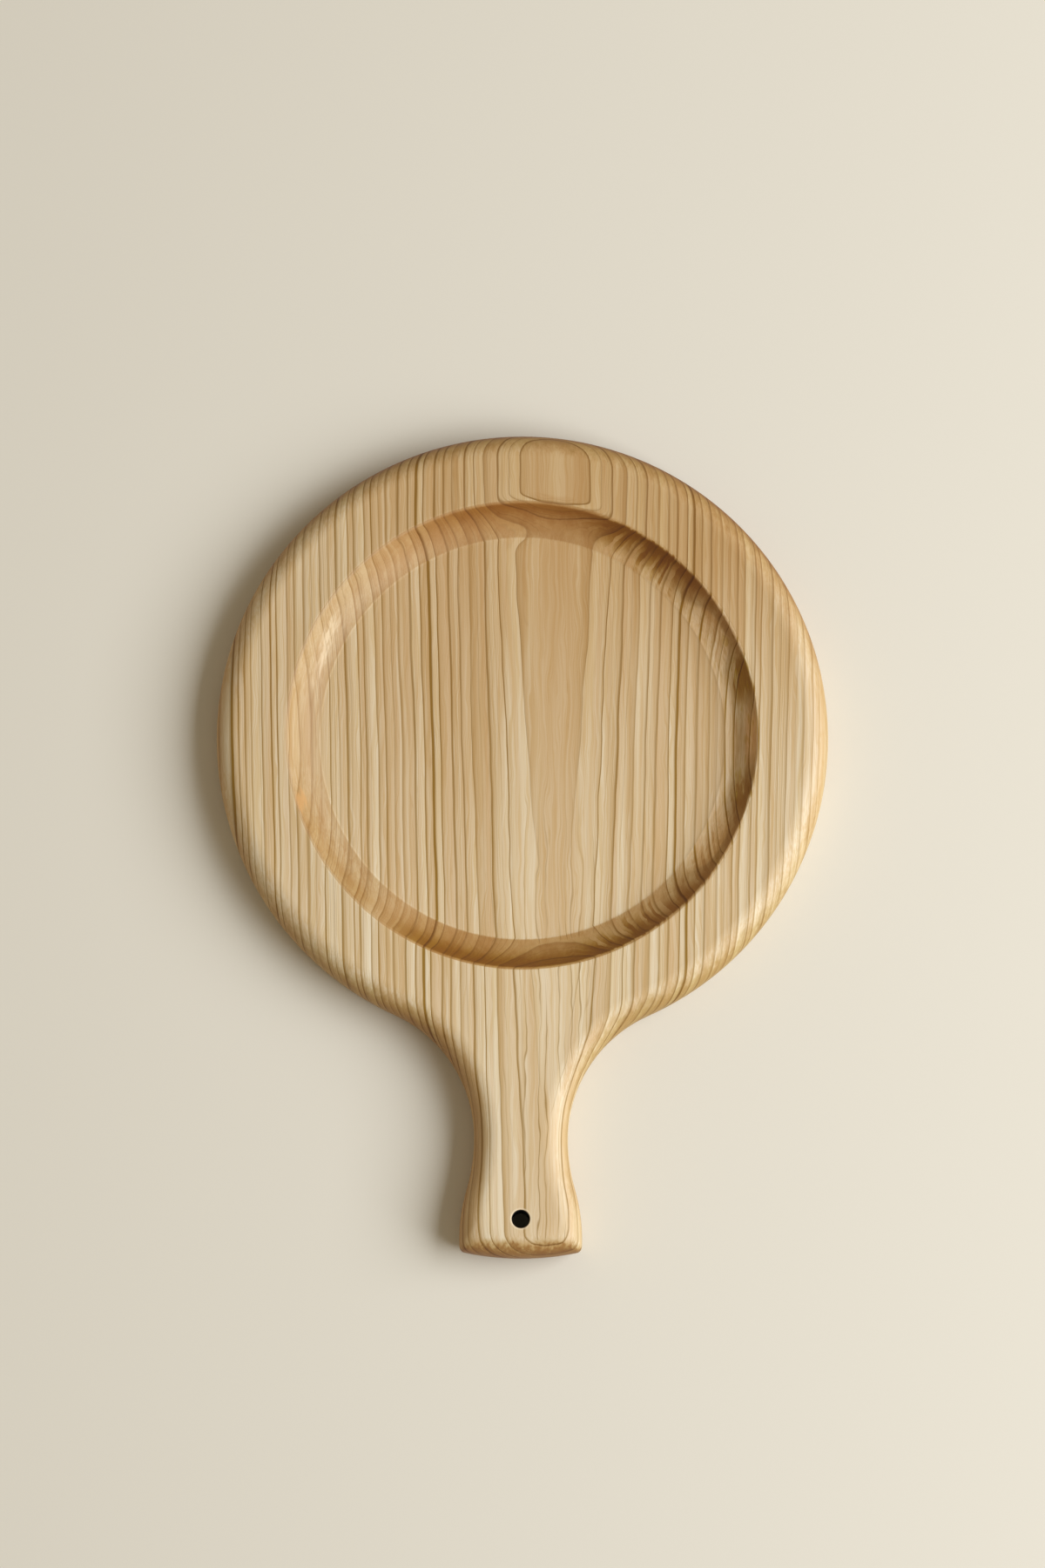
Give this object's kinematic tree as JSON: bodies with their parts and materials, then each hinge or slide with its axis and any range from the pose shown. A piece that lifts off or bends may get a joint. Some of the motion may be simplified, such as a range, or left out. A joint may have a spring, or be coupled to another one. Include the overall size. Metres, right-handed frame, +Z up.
{
  "type": "serving board",
  "caption": "Round wooden serving board with a dished round recess, rounded edges and a short flared handle with a hanging hole.",
  "frame": {"origin": "middle of the round disc, on the flat underside that the board rests on", "axes": "+Z up out of the recess, -Y along the handle towards its hanging hole, +X across the board"},
  "size_m": [0.28, 0.378, 0.024],
  "materials": {
    "wood": "planed and sanded, satin oil"
  },
  "bodies": {
    "root": {"board": "wood"}
  },
  "joints": []
}
